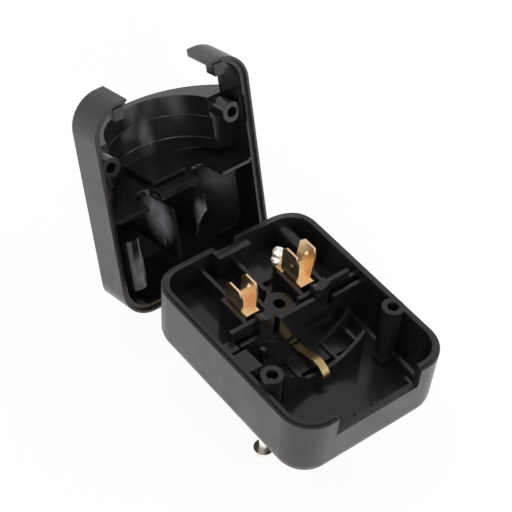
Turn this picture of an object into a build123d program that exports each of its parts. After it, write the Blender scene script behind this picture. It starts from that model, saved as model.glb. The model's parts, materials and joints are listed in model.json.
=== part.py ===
"""Earthed converter plug, opened.

A two-part moulded box takes a round-bodied plug laid flat. The plug's two
round pins drop into copper clips, its body lies on curved ribs, and its
earth contact bears on a brass strip. Three flat-sided pins stand out of the
underside. The lid turns on a pin at the back and is shut by two screws.

Frame: the origin is the middle of the pin face (the underside), +Z points
from the pin face to the lid, +Y to the hinge and -Y to the cable notch.
Sizes are in millimetres.
"""
import math
import os

from build123d import *

# Overall sizes of the tray and lid
WIDTH = 52.0
LENGTH = 68.0
TRAY_HEIGHT = 22.0
CORNER_R = 9.6
EDGE_R = 6.0
DRAFT = 2.0
WALL = 2.2
RIM_STEP_WIDTH = 1.1
RIM_STEP_HEIGHT = 0.7
PARTING_GAP = 0.3

# The plug that goes in: round body lying along Y, two round pins
PLUG_AXIS_HEIGHT = 5.0
PLUG_R_REAR = 17.9
PLUG_R_FRONT = 17.0
PLUG_PIN_PITCH = 19.0
PLUG_PIN_D = 4.8

# Tray floors, walls and ribs
FLOOR = 6.0
REAR_FLOOR = 12.0
FUSE_HUMP_HEIGHT = 9.2
RIB = 1.1
FRONT_WALL_Y = 0.6
REAR_WALL_Y = 3.4
WALL_RIB = 1.2
CRADLE_FRONT_Y = -11.6
CRADLE_REAR_Y = -3.4
NOTCH_WIDTH = 28.2
NOTCH_DEPTH = 6.6

# Closing screws and their pillars
PILLAR_PITCH = 41.6
PILLAR_Y = -14.2
PILLAR_D = 6.2
PILLAR_RISE = 3.1
SCREW_D = 3.0
SCREW_CLEARANCE = 0.1
SCREW_HEAD_D = 5.6
SCREW_HEAD_H = 2.1
SCREW_REACH = 6.0
SCREW_HANG = 8.0
COUNTERBORE_DEPTH = 2.4

# Mains pins, flat-sided
PIN_PITCH = 22.2
LINE_PIN_Y = -14.0
LINE_PIN = (6.35, 4.0, 17.7)
EARTH_PIN = (4.0, 8.0, 22.7)
SLEEVE_LENGTH = 9.5
SLEEVE_THICKNESS = 0.5
PIN_ROOT = 4.5
PIN_FLANGE = 1.2

# Copper and brass
SHEET = 0.6
CLIP_GAP = 4.4
CLIP_LENGTH = 6.8
CLIP_RISE = 8.6
CLIP_Y = 9.6
CLIP_LIP = 1.6
CLIP_FLOOR_DROP = 1.0
STRIP_WIDTH = 2.4
STRIP_THICKNESS = 0.5

# Fuse
FUSE_D = 6.3
FUSE_LENGTH = 25.4
FUSE_CAP_LENGTH = 5.6
FUSE_Y = -3.5
FUSE_COVER = 1.6
FUSE_CLEARANCE = 0.15

# Lid
LID_SIDE_HEIGHT = 11.8
LID_CROWN_HEIGHT = 25.4
LID_ROOF_SETBACK = 16.0
LID_NEST_STEPS = ((-11.4, 0.1), (-4.0, 0.7), (-0.5, 1.1))
LID_NEST_EDGE = 9.8
LID_FIN_X = 5.4
LID_ARCH_HALF = 3.2
OPEN_ANGLE = 107.0
HINGE_PIN_D = 2.5
HINGE_WIDTH = 7.2
HINGE_CLEARANCE = 0.3
HINGE_BORE_CLEARANCE = 0.05
HINGE_CHEEK = 3.6

# Derived places
HALF_W = WIDTH / 2
HALF_L = LENGTH / 2
INNER_X = HALF_W - WALL + 0.6
INNER_Y = HALF_L - WALL + 0.6
RIM_Z = TRAY_HEIGHT
PLUG_Z = RIM_Z + PLUG_AXIS_HEIGHT
CLIP_X = PLUG_PIN_PITCH / 2
CLIP_FLOOR_Z = RIM_Z - CLIP_FLOOR_DROP
EARTH_PIN_Y = LINE_PIN_Y + PIN_PITCH
LINE_PIN_X = PIN_PITCH / 2
HINGE_Y = HALF_L - EDGE_R
HINGE_Z = EDGE_R
KNUCKLE_R = EDGE_R - 0.2
CHEEK_X = HINGE_WIDTH / 2 + HINGE_CLEARANCE
PILLAR_X = PILLAR_PITCH / 2
PILLAR_TOP = RIM_Z + PILLAR_RISE
STRIP_Z = FUSE_HUMP_HEIGHT + 0.3
LID_RIM_Z = RIM_Z + PARTING_GAP
SOLDER_X = CLIP_X - 2.0
SOLDER_Y = CLIP_Y + CLIP_LENGTH + 2.9


def block(x0, x1, y0, y1, z0, z1):
    """A box given by its two corners."""
    centre = ((x0 + x1) / 2, (y0 + y1) / 2, (z0 + z1) / 2)
    return Pos(*centre) * Box(abs(x1 - x0), abs(y1 - y0), abs(z1 - z0))


def rod(x, y, z0, z1, diameter):
    """A round bar standing along Z."""
    return Pos(x, y, (z0 + z1) / 2) * Cylinder(diameter / 2, abs(z1 - z0))


def rod_y(x, z, y0, y1, radius):
    """A round bar lying along Y."""
    return Pos(x, (y0 + y1) / 2, z) * Rot(90, 0, 0) * Cylinder(radius, abs(y1 - y0))


def rod_x(y, z, x0, x1, radius):
    """A round bar lying along X."""
    return Pos((x0 + x1) / 2, y, z) * Rot(0, 90, 0) * Cylinder(radius, abs(x1 - x0))


def outline(inset, length=LENGTH, shift=0.0):
    """The plan outline, moved inwards by an inset."""
    shape = RectangleRounded(WIDTH - 2 * inset, length - 2 * inset, CORNER_R - inset)
    return Pos(0, shift, 0) * shape


def tub(inset, z0, z1, edge_r):
    """The drafted, round-bottomed form of the tray, between two heights."""
    top = Pos(0, 0, z1) * outline(inset)
    body = extrude(top, amount=z0 - z1, taper=DRAFT)
    bottom = body.faces().sort_by(Axis.Z)[0]
    return fillet(bottom.edges(), edge_r)


def rim_ring(inner, outer, z0, z1):
    """A band that follows the rim between two insets."""
    band = extrude(Pos(0, 0, z0) * outline(outer), z1 - z0)
    return band - extrude(Pos(0, 0, z0 - 1) * outline(inner), z1 - z0 + 2)


def mirrored(shape):
    """The shape and its mirror image across the middle plane."""
    return shape + mirror(shape, Plane.YZ)


def u_notch(x, z, half_width, y0, y1):
    """A round-bottomed slot, open upwards, across a wall."""
    slot = rod_y(x, z + half_width, y0, y1, half_width)
    return slot + block(x - half_width, x + half_width, y0, y1, z + half_width, z + 20)


def cradle_rib(y, half, radius, z_floor):
    """A rib across the tray with a hollow edge for the round plug body."""
    rib = block(-half, half, y - RIB / 2, y + RIB / 2, z_floor - 1, RIM_Z - 4.5)
    return rib - rod_y(0, PLUG_Z, y - 3, y + 3, radius)


def screw_pillar(x):
    """A pillar on a low square foot, tied to the side wall."""
    pillar = rod(x, PILLAR_Y, FLOOR - 1, PILLAR_TOP, PILLAR_D)
    side = math.copysign(1, x)
    web = block(x, x + side * (HALF_W - PILLAR_X - 1), PILLAR_Y - RIB / 2, PILLAR_Y + RIB / 2,
                FLOOR - 1, RIM_Z - 3)
    foot = block(x - side * 4.2, x, PILLAR_Y - 3.6, PILLAR_Y + 0.8, FLOOR - 1, FLOOR + 1.4)
    return pillar + web + foot


def tray_shell():
    """The drafted tub with its cavity and the step round the rim."""
    shell = tub(0, 0, RIM_Z, EDGE_R)
    shell += rim_ring(WALL, RIM_STEP_WIDTH, RIM_Z - 1, RIM_Z + RIM_STEP_HEIGHT)
    shell -= tub(WALL, FLOOR, RIM_Z + RIM_STEP_HEIGHT, 2.0)
    return shell


def cross_walls():
    """The two walls between the front well and the rear floor, cut for the plug's pins."""
    # Front wall: high between the plug's pins, low beside them, with a step at its foot
    front_back = FRONT_WALL_Y + WALL_RIB
    walls = block(-19.1, INNER_X, FRONT_WALL_Y, front_back, FLOOR - 1, RIM_Z - 1.5)
    walls += block(-6.1, 6.1, FRONT_WALL_Y, front_back, FLOOR - 1, RIM_Z + 1.5)
    walls += block(-10.0, 13.0, FRONT_WALL_Y - 0.7, front_back, FLOOR - 1, 12.3)
    for x in (-CLIP_X, CLIP_X):
        walls -= block(x - 3.4, x + 3.4, FRONT_WALL_Y - 2, front_back + 0.1, RIM_Z - 5, RIM_Z + 5)
    # Rear wall, with a hollow-topped saddle under each plug pin
    rear_back = REAR_WALL_Y + WALL_RIB
    walls += block(-20.4, INNER_X, REAR_WALL_Y, rear_back, FLOOR - 1, RIM_Z - 1)
    walls += block(-20.4, -CLIP_X, REAR_WALL_Y, rear_back, FLOOR - 1, RIM_Z + 2)
    walls += block(2.7, CLIP_X, REAR_WALL_Y, rear_back, FLOOR - 1, RIM_Z + 1)
    walls += block(CLIP_X, 20.4, REAR_WALL_Y, rear_back, FLOOR - 1, RIM_Z + 2)
    for x in (-CLIP_X, CLIP_X):
        half = PLUG_PIN_D / 2
        saddle = block(x - half, x + half, front_back, rear_back, FLOOR - 1, PLUG_Z - 1.6)
        walls += saddle - rod_y(x, PLUG_Z, 0, REAR_WALL_Y + 4, half + 0.05)
    return walls


def rear_floor():
    """The raised floor behind the walls, with the clip channels, ribs and pin boss."""
    parts = block(-INNER_X, INNER_X, REAR_WALL_Y, INNER_Y, FLOOR - 1, REAR_FLOOR)
    for x in (-CLIP_X, CLIP_X):
        parts += block(x - 3.6, x + 3.6, CLIP_Y - CLIP_LIP, CLIP_Y + CLIP_LENGTH + 1.0,
                       REAR_FLOOR - 1, CLIP_FLOOR_Z - SHEET)
        for side in (-1, 1):
            rib_x = x + side * 3.9
            parts += block(rib_x - RIB / 2, rib_x + RIB / 2, REAR_WALL_Y, CLIP_Y + CLIP_LENGTH,
                           REAR_FLOOR - 1, RIM_Z - 0.5)
    # Boss over the root of the earth pin, and the rib in front of the hinge block
    parts += rod(0, EARTH_PIN_Y, REAR_FLOOR - 1, RIM_Z - 3.2, 8.4)
    parts += block(-0.6, 0.6, 14.8, HINGE_Y + 1, REAR_FLOOR - 1, RIM_Z - 3.2)
    parts += rod(0, 14.8, REAR_FLOOR - 1, RIM_Z - 3.2, 1.2)
    # Rib behind the left clip, and the round ridge in the right corner
    parts += block(-10.4, -9.2, CLIP_Y + CLIP_LENGTH, INNER_Y, REAR_FLOOR - 1, RIM_Z - 3.5)
    parts += rod_y(19.2, RIM_Z - 4.6, 21.5, INNER_Y, 2.2)
    parts += block(17.0, 21.4, 21.5, INNER_Y, REAR_FLOOR - 1, RIM_Z - 4.6)
    return parts


def side_details():
    """The ridge, post and pad beside the left end of the walls."""
    ridge = rod_y(-20.0, RIM_Z - 1.6, -8.4, -1.5, 1.6)
    ridge += block(-INNER_X, -20.0, -8.4, -1.5, RIM_Z - 3.2, RIM_Z - 0.02)
    pad = block(-INNER_X, -20.0, 0.0, REAR_WALL_Y + 0.3, FLOOR - 1, RIM_Z - 1)
    pad += rod_y(-21.7, RIM_Z - 3.2, -0.3, 0.3, 0.45)
    post = rod(-14.9, CRADLE_REAR_Y, FLOOR - 1, RIM_Z - 1, 1.6)
    return ridge + pad + post


def tray_interior():
    """Floors, cross walls, ribs and pillars that stand in the cavity."""
    parts = rear_floor()
    parts += block(-15.6, 15.6, FUSE_Y - 5.4, REAR_WALL_Y + 0.1, FLOOR - 1, FUSE_HUMP_HEIGHT)
    parts += cross_walls()
    # Hollow-edged ribs and the low bars that join them
    parts += cradle_rib(CRADLE_FRONT_Y, 14.0, PLUG_R_FRONT, FLOOR)
    parts += cradle_rib(CRADLE_REAR_Y, 15.2, PLUG_R_REAR, FLOOR)
    for x, top in ((6.2, 10.0), (13.4, 12.2)):
        bar = block(x - RIB / 2, x + RIB / 2, CRADLE_FRONT_Y, CRADLE_REAR_Y, FLOOR - 1, top)
        parts += mirrored(bar)
    # Short ribs inside the cable notch
    for x, y_end in ((-4.8, -30.4), (1.1, -30.4), (13.8, -29.0)):
        parts += block(x - 0.45, x + 0.45, -HALF_L + WALL - 0.4, y_end, FLOOR - 1, RIM_Z - 7)
    parts += side_details()
    for x in (-PILLAR_X, PILLAR_X):
        parts += screw_pillar(x)
    return parts


def hinge_block():
    """The solid round the hinge, between the rear floor and the back wall."""
    half = CHEEK_X + HINGE_CHEEK
    low = block(-half, half, HINGE_Y - EDGE_R - 1.6, HALF_L - WALL, 1.0, HINGE_Z + EDGE_R + 1.6)
    high = block(-CHEEK_X - 1.6, CHEEK_X + 1.6, HINGE_Y + 0.2, HALF_L - WALL / 2,
                 FLOOR, RIM_Z)
    return low + high


def hinge_space():
    """The slot that the lid's hinge leg turns in, open to the back."""
    space = rod_x(HINGE_Y, HINGE_Z, -CHEEK_X, CHEEK_X, KNUCKLE_R + HINGE_CLEARANCE)
    leg_inner = HINGE_Y + KNUCKLE_R - WALL - HINGE_CLEARANCE
    space += block(-CHEEK_X, CHEEK_X, leg_inner, HALF_L + 6, HINGE_Z, RIM_Z + 5)
    space += block(-CHEEK_X, CHEEK_X, HINGE_Y, HALF_L + 6, -1, HINGE_Z)
    return space


def back_edge_relief():
    """What the lid's rim sweeps through as it closes over the back edge."""
    reach = LID_RIM_Z - HINGE_Z - 0.2
    corner = block(-HALF_W - 2, HALF_W + 2, HINGE_Y, HALF_L + 4, RIM_Z - 6, RIM_Z + 6)
    return corner - rod_x(HINGE_Y, HINGE_Z, -HALF_W - 3, HALF_W + 3, reach)


def cable_notch():
    """The wide notch in the front wall."""
    half = NOTCH_WIDTH / 2
    return block(-half, half, -HALF_L - 2, -HALF_L + WALL + 1.5, RIM_Z - NOTCH_DEPTH, RIM_Z + 3)


def fuse_space():
    """The fuse chamber, open to the pin face, and the recess of its cover."""
    chamber = block(-14.0, 14.0, FUSE_Y - 4.4, FUSE_Y + 4.4, -1, FUSE_HUMP_HEIGHT - 1.3)
    recess = block(-15.2, 15.2, FUSE_Y - 5.2, FUSE_Y + 5.2, -1, FUSE_COVER)
    return chamber + recess


def tray(inserts):
    """The tray housing, with the metal inserts moulded in."""
    body = tray_shell()
    body += tray_interior() & tub(0.6, 0, RIM_Z + 8, 2.0)
    body += hinge_block()
    body -= hinge_space()
    body -= back_edge_relief()
    body -= cable_notch()
    body -= fuse_space()
    body -= rod_x(HINGE_Y, HINGE_Z, -CHEEK_X - HINGE_CHEEK + 0.6, CHEEK_X + HINGE_CHEEK - 0.6,
                  HINGE_PIN_D / 2)
    for x in (-PILLAR_X, PILLAR_X):
        body -= rod(x, PILLAR_Y, -1, PILLAR_TOP + 1, SCREW_D + 2 * SCREW_CLEARANCE)
        body -= rod(x, PILLAR_Y, -1, COUNTERBORE_DEPTH, SCREW_HEAD_D + 0.8)
    # The strip runs to the earth pin through the feet of both cross walls
    body -= block(-STRIP_WIDTH / 2 - 0.4, STRIP_WIDTH / 2 + 0.4, FRONT_WALL_Y - 1.2,
                  EARTH_PIN_Y, STRIP_Z, STRIP_Z + 1.6)
    body -= rod(0, EARTH_PIN_Y, STRIP_Z, STRIP_Z + 1.9, 6.4)
    body -= rod(0, EARTH_PIN_Y, STRIP_Z, RIM_Z, 3.4)
    for insert in inserts:
        body -= insert
    return body


def line_pin(x):
    """One of the two insulated pins, with its moulded-in root."""
    width, depth, length = LINE_PIN
    blade = block(x - width / 2, x + width / 2, LINE_PIN_Y - depth / 2, LINE_PIN_Y + depth / 2,
                  -length, 0)
    tip = blade.faces().sort_by(Axis.Z)[0]
    blade = chamfer(tip.edges(), 1.0)
    blade -= sleeve_form(x) - sleeve_core(x)
    root = block(x - 2.0, x + 2.0, LINE_PIN_Y - 1.5, LINE_PIN_Y + 1.5, -0.5, PIN_ROOT)
    flange = block(x - 4.0, x + 4.0, LINE_PIN_Y - 2.8, LINE_PIN_Y + 2.8, 1.4, 1.4 + PIN_FLANGE)
    return blade + root + flange


def sleeve_form(x):
    """The outer form of a pin's insulating sleeve."""
    width, depth, _ = LINE_PIN
    return block(x - width / 2, x + width / 2, LINE_PIN_Y - depth / 2, LINE_PIN_Y + depth / 2,
                 -SLEEVE_LENGTH, 0)


def sleeve_core(x):
    """The slimmer metal inside the sleeve."""
    width, depth, _ = LINE_PIN
    t = SLEEVE_THICKNESS
    return block(x - width / 2 + t, x + width / 2 - t, LINE_PIN_Y - depth / 2 + t,
                 LINE_PIN_Y + depth / 2 - t, -SLEEVE_LENGTH - 1, 1)


def pin_sleeve(x):
    """The black sleeve round the root of a line or neutral pin."""
    return sleeve_form(x) - sleeve_core(x)


def earth_pin():
    """The longer earth pin, its flange, and the shank peened over the strip."""
    width, depth, length = EARTH_PIN
    y = EARTH_PIN_Y
    blade = block(-width / 2, width / 2, y - depth / 2, y + depth / 2, -length, 1.0)
    tip = blade.faces().sort_by(Axis.Z)[0]
    blade = chamfer(tip.edges(), 1.2)
    flange = block(-3.0, 3.0, y - depth / 2, y + depth / 2, 1.4, 1.4 + PIN_FLANGE)
    root = block(-1.9, 1.9, y - 2.6, y + 2.6, 0, STRIP_Z)
    shank = rod(0, y, STRIP_Z, STRIP_Z + STRIP_THICKNESS + 1.2, 3.2)
    return blade + flange + root + shank


def earth_strip():
    """The springy brass strip under the plug, bowed up and curled at its end."""
    rise = STRIP_Z
    path = [(EARTH_PIN_Y, rise), (2.6, rise), (0.0, rise), (-4.8, rise + 0.9),
            (-7.6, rise + 1.9), (-9.6, rise + 2.2), (-11.4, rise + 1.8), (-13.0, rise + 0.6),
            (-13.7, rise - 0.6)]
    line = Polyline(*[(0, y, z + STRIP_THICKNESS / 2) for y, z in path[:3]])
    line += Spline(*[(0, y, z + STRIP_THICKNESS / 2) for y, z in path[2:]],
                   tangents=((0, -1, 0), (0, -0.35, -1)))
    profile = Plane.XZ.offset(-path[0][0]) * Pos(0, rise + STRIP_THICKNESS / 2) * Rectangle(
        STRIP_WIDTH, STRIP_THICKNESS)
    strip = sweep(profile, path=line)
    strip += rod(0, EARTH_PIN_Y, rise, rise + STRIP_THICKNESS, 6.0)
    return strip - rod(0, EARTH_PIN_Y, 0, RIM_Z, 3.2)


def plug_clip(x, extra_rise, splay):
    """A U of copper strip, open upwards, with a lip in front and a dimple each side."""
    half = CLIP_GAP / 2
    y0 = CLIP_Y
    y1 = CLIP_Y + CLIP_LENGTH
    z0 = CLIP_FLOOR_Z - SHEET
    top = z0 + CLIP_RISE + extra_rise
    left = min(0.0, math.copysign(splay, x))
    right = max(0.0, math.copysign(splay, x))
    section = Polyline(
        (x - half - SHEET, z0), (x + half + SHEET, z0), (x + half + SHEET + right, top),
        (x + half + right, top), (x + half, z0 + SHEET), (x - half, z0 + SHEET),
        (x - half + left, top), (x - half - SHEET + left, top), close=True)
    clip = extrude(Plane.XZ * make_face(section), amount=CLIP_LENGTH, both=True)
    clip = Pos(0, (y0 + y1) / 2, 0) * clip
    side_view = Polyline((y0, z0 - 1), (y1, z0 - 1), (y1, top - 1.6), (y1 - 1.4, top - 0.2),
                         (y0 + 1.2, top - 0.2), (y0, top - 3.0), close=True)
    clip &= extrude(Plane.YZ * make_face(side_view), amount=60, both=True)
    clip += block(x - half, x + half, y0 - CLIP_LIP, y0 + 0.5, z0, z0 + SHEET)
    for side, lean in ((-1, left), (1, right)):
        tip_x = x + side * (half - 0.25) + 0.65 * lean
        dimple = Rot(0, -90 * side, 0) * Cone(1.1, 0.25, 1.0)
        clip += Pos(tip_x, (y0 + y1) / 2, z0 + 0.65 * (top - z0)) * dimple
    return clip


def fuse_contact(x):
    """A spring clip round one end cap of the fuse."""
    top = FUSE_HUMP_HEIGHT - 1.3
    half = FUSE_D / 2 + 0.05
    z0 = top - SHEET
    clip = block(x - 2.0, x + 2.0, FUSE_Y - half - SHEET, FUSE_Y + half + SHEET, z0, top)
    for side in (-1, 1):
        y0 = FUSE_Y + side * half
        clip += block(x - 2.0, x + 2.0, y0, y0 + side * SHEET, 2.4, z0)
    return clip


def line_fuse_contact():
    """The fuse clip whose tail is riveted to the line pin."""
    clip = fuse_contact(10.5)
    top = FUSE_HUMP_HEIGHT - 1.3
    tail_y = FUSE_Y - 4.4
    clip += block(9.3, 12.3, tail_y - SHEET, FUSE_Y - 3.0, top - SHEET, top)
    clip += block(9.3, 12.3, tail_y - SHEET, tail_y, PIN_ROOT, top)
    clip += block(9.3, 12.3, LINE_PIN_Y - 1.6, tail_y, PIN_ROOT, PIN_ROOT + SHEET)
    return clip


def feed_fuse_contact():
    """The other fuse clip, whose long tail rises behind the live plug clip."""
    top = FUSE_HUMP_HEIGHT - 1.3
    z0 = top - SHEET
    x = SOLDER_X
    clip = fuse_contact(-10.5)
    clip += block(-11.7, -9.3, FUSE_Y + 3.0, 2.9, z0, top)
    clip += block(-11.7, x + 1.2, FUSE_Y + 4.9, 2.9, z0, top)
    clip += block(x - 1.2, x + 1.2, FUSE_Y + 4.9, SOLDER_Y, z0, top)
    clip += block(x - 1.2, x + 1.2, SOLDER_Y - SHEET, SOLDER_Y, z0, RIM_Z + 2.6)
    return clip


def solder_tab():
    """The ear at the back of the live clip that the solder joins to the tail."""
    z0 = CLIP_FLOOR_Z - SHEET
    return block(SOLDER_X - 1.2, SOLDER_X + 1.2, CLIP_Y + CLIP_LENGTH - 1, SOLDER_Y - SHEET - 0.05,
                 z0, z0 + SHEET)


def solder_joint():
    """The bright lump of solder on the live clip's ear."""
    z = CLIP_FLOOR_Z
    half_outline = Spline((0, 0), (2.0, 0.6), (2.3, 2.2), (1.9, 4.4), (0, 5.6))
    lump = revolve(Plane.XZ * make_face(half_outline + Line((0, 5.6), (0, 0))), Axis.Z)
    lump = Pos(SOLDER_X, SOLDER_Y - 0.6, z) * scale(lump, (0.95, 0.85, 1.0))
    return lump & block(0, 20, CLIP_Y + CLIP_LENGTH + 0.2, SOLDER_Y + 2.4, z, z + 8)


def neutral_link():
    """The strap moulded into the floor from the neutral pin to its clip."""
    z0 = PIN_ROOT
    z1 = PIN_ROOT + SHEET
    end_y = CLIP_Y + 3.0
    link = block(-18.6, -9.6, LINE_PIN_Y - 1.6, LINE_PIN_Y + 1.6, z0, z1)
    link += block(-18.6, -16.2, LINE_PIN_Y - 1.6, end_y, z0, z1)
    link += block(-18.6, -8.3, end_y - 2.4, end_y, z0, z1)
    link += block(-10.7, -8.3, end_y - SHEET, end_y, z0, CLIP_FLOOR_Z - SHEET)
    return link


def fuse_tube():
    """The ceramic body of the fuse."""
    z = FUSE_COVER - 0.7 + FUSE_D / 2
    half = FUSE_LENGTH / 2
    return rod_x(FUSE_Y, z, -half + 0.4, half - 0.4, FUSE_D / 2 - 0.35)


def fuse_cap(side):
    """A metal end cap of the fuse, open towards the tube."""
    z = FUSE_COVER - 0.7 + FUSE_D / 2
    half = FUSE_LENGTH / 2
    cup = rod_x(FUSE_Y, z, side * half, side * (half - FUSE_CAP_LENGTH), FUSE_D / 2)
    return cup - fuse_tube()


def fuse_cover():
    """The snap-in cover over the fuse, flush with the pin face."""
    gap = FUSE_CLEARANCE
    cover = block(-15.2 + gap, 15.2 - gap, FUSE_Y - 5.2 + gap, FUSE_Y + 5.2 - gap, 0, FUSE_COVER - 0.05)
    cover = fillet(cover.edges().filter_by(Axis.Z), 1.0)
    z = FUSE_COVER - 0.7 + FUSE_D / 2
    cover -= rod_x(FUSE_Y, z, -13.2, 13.2, FUSE_D / 2 + 0.1)
    cover -= block(-15.5, -12.0, FUSE_Y - 1.5, FUSE_Y + 1.5, -0.5, 0.7)
    return cover


def closing_screw(x):
    """A long pan-head screw, backed out until it hangs below the tray."""
    seat = COUNTERBORE_DEPTH
    length = PILLAR_TOP + SCREW_REACH - seat
    shank = rod(x, PILLAR_Y, seat - 0.2, seat + length - 1.6, SCREW_D)
    point = Pos(x, PILLAR_Y, seat + length - 0.8) * Cone(SCREW_D / 2, 0.5, 1.6)
    head = rod(x, PILLAR_Y, seat - SCREW_HEAD_H, seat, SCREW_HEAD_D)
    head = fillet(head.edges().group_by(Axis.Z)[0], 1.2)
    drive = block(x - 1.7, x + 1.7, PILLAR_Y - 0.35, PILLAR_Y + 0.35, seat - 3, seat - SCREW_HEAD_H + 1.0)
    drive += block(x - 0.35, x + 0.35, PILLAR_Y - 1.7, PILLAR_Y + 1.7, seat - 3, seat - SCREW_HEAD_H + 1.0)
    return Pos(0, 0, -SCREW_HANG) * (shank + point + head - drive)


def hinge_pin():
    """The steel pin that the lid turns on."""
    half = CHEEK_X + HINGE_CHEEK - 0.6
    return rod_x(HINGE_Y, HINGE_Z, -half, half, HINGE_PIN_D / 2)


def vault(inset, base_z):
    """The arched form of the lid over its plan outline, moved in by an inset."""
    half = HALF_W - inset
    side = LID_SIDE_HEIGHT - 0.5 * inset
    crown = LID_CROWN_HEIGHT - inset
    arch = ThreePointArc((half, side), (0, crown), (-half, side))
    arch_line = Polyline((-half, side), (-half, base_z), (half, base_z), (half, side))
    section = make_face(Plane.XZ * Pos(0, RIM_Z) * (arch + arch_line))
    bar = extrude(section, amount=HALF_L + 5, both=True)
    plan = extrude(Pos(0, 0, RIM_Z + base_z - 1) * outline(inset), LID_CROWN_HEIGHT + 10)
    return bar & plan


def lid_shell():
    """The arched cover, open below, with the roof cut back at the cable end."""
    return vault(0, PARTING_GAP) - vault(WALL, -2)


def nest_band(y0, y1, radius):
    """A step of the nest for the plug body, on the inside of the roof."""
    fill = vault(WALL - 0.4, LID_NEST_EDGE) & block(-HALF_W, HALF_W, y0, y1, RIM_Z, RIM_Z + 40)
    return fill - rod_y(0, PLUG_Z, y0 - 1, y1 + 1, radius)


def lid_walls():
    """The short front wall, and the rear wall arched over the plug's pins."""
    roof = RIM_Z + 30
    front = block(-5.8, 5.8, -0.6, 0.4, RIM_Z + 8.5, roof)
    low = block(-HALF_W, HALF_W, 1.1, 2.1, RIM_Z + 0.5, roof)
    high = block(-8.0, 8.0, 1.1, 3.3, RIM_Z + 4, roof)
    low -= block(-8.0, 8.0, 0, 4, RIM_Z, RIM_Z + 4)
    rear = low + high
    for x in (-CLIP_X, CLIP_X):
        rear -= rod_y(x, PLUG_Z + 1.8, 0, 4, LID_ARCH_HALF)
        rear -= block(x - LID_ARCH_HALF, x + LID_ARCH_HALF, 0, 4, RIM_Z, PLUG_Z + 1.8)
    return [front, rear]


def lid_fins():
    """Two long fins beside the hinge end; the right one clears the solder."""
    left = block(-LID_FIN_X - RIB / 2, -LID_FIN_X + RIB / 2, 5.0, 21.6, LID_RIM_Z, RIM_Z + 30)
    left -= rod_x(18.5, RIM_Z + 6.5, -HALF_W, 0, 1.6)
    right = block(LID_FIN_X - RIB / 2, LID_FIN_X + RIB / 2, 5.0, 21.6, LID_RIM_Z, RIM_Z + 30)
    right -= rod_x(HINGE_Y, HINGE_Z, 0, HALF_W, 24.0)
    return [left, right]


def lid_interior():
    """Stepped nest, bosses, walls, fins and the round ridge inside the lid."""
    y0 = -HALF_L + LID_ROOF_SETBACK
    pieces = []
    for y1, extra in LID_NEST_STEPS:
        pieces.append(nest_band(y0, y1, PLUG_R_REAR + extra))
        y0 = y1 - 0.2
    inside = vault(WALL - 0.6, 0.4)
    # Screw bosses, each tied to its side wall by a web
    for x in (-PILLAR_X, PILLAR_X):
        side = math.copysign(1, x)
        boss = rod(x, PILLAR_Y, PILLAR_TOP + PARTING_GAP, RIM_Z + 30, PILLAR_D)
        boss += block(x, side * (HALF_W - 1), PILLAR_Y - RIB / 2, PILLAR_Y + RIB / 2,
                      PILLAR_TOP + 1, RIM_Z + 30)
        pieces.append(boss & inside)
    # Round ridge along the left side of the roof
    ridge = rod_y(-18.8, RIM_Z + 4.4, 9.5, 26.0, 3.0)
    ridge += block(-21.8, -15.8, 9.5, 26.0, RIM_Z + 4.4, RIM_Z + 30)
    for piece in lid_walls() + lid_fins() + [ridge]:
        pieces.append(piece & inside)
    return pieces


def lid_arms_cut():
    """Opens the cable end: roof cut back, end wall cut out between two arms."""
    y_end = -HALF_L
    cut = block(-HALF_W - 1, HALF_W + 1, y_end - 2, y_end + LID_ROOF_SETBACK,
                RIM_Z + LID_SIDE_HEIGHT, RIM_Z + 40)
    half = NOTCH_WIDTH / 2
    cut += block(-half, half, y_end - 2, y_end + WALL + 2, RIM_Z - 2, RIM_Z + 40)
    return cut


def lid_hinge_leg():
    """The leg that reaches down behind the tray to the knuckle."""
    half = HINGE_WIDTH / 2
    outer_y = HINGE_Y + KNUCKLE_R
    leg = block(-half, half, outer_y - WALL, outer_y, HINGE_Z, RIM_Z + 6)
    leg += rod_x(HINGE_Y, HINGE_Z, -half, half, KNUCKLE_R)
    return leg


def lid_hooks():
    """The small hooks at the ends of the arms."""
    hook = block(15.3, 18.4, -HALF_L + WALL - 0.4, -HALF_L + WALL + 3.3, RIM_Z + 0.8, RIM_Z + 5.0)
    return mirrored(hook)


def lid():
    """The lid housing, in its closed place."""
    body = lid_shell() - lid_arms_cut()
    # Shallow pockets in the side walls, clear of the tray's pillars
    for side in (-1, 1):
        body -= block(side * (PILLAR_X + 2.6), side * (HALF_W - 1.75), PILLAR_Y - 4.8,
                      PILLAR_Y + 3.6, RIM_Z - 1, PILLAR_TOP + PARTING_GAP)
    for piece in lid_interior():
        body += piece
    # Groove over the rim step of the tray
    body -= rim_ring(WALL + 1, RIM_STEP_WIDTH - 0.3, LID_RIM_Z - 1, LID_RIM_Z + RIM_STEP_HEIGHT + 0.3)
    body += lid_hooks()
    body += lid_hinge_leg()
    body -= rod_x(HINGE_Y, HINGE_Z, -HINGE_WIDTH, HINGE_WIDTH, HINGE_PIN_D / 2 + HINGE_BORE_CLEARANCE)
    for x in (-PILLAR_X, PILLAR_X):
        depth = SCREW_REACH + 1.0
        body -= rod(x, PILLAR_Y, PILLAR_TOP, PILLAR_TOP + depth, SCREW_D + 2 * SCREW_CLEARANCE)
    return body


def opened(shape):
    """Turns a piece of the lid from closed to the open rest position."""
    axis = Axis((0, HINGE_Y, HINGE_Z), (1, 0, 0))
    return shape.rotate(axis, -OPEN_ANGLE)


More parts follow.
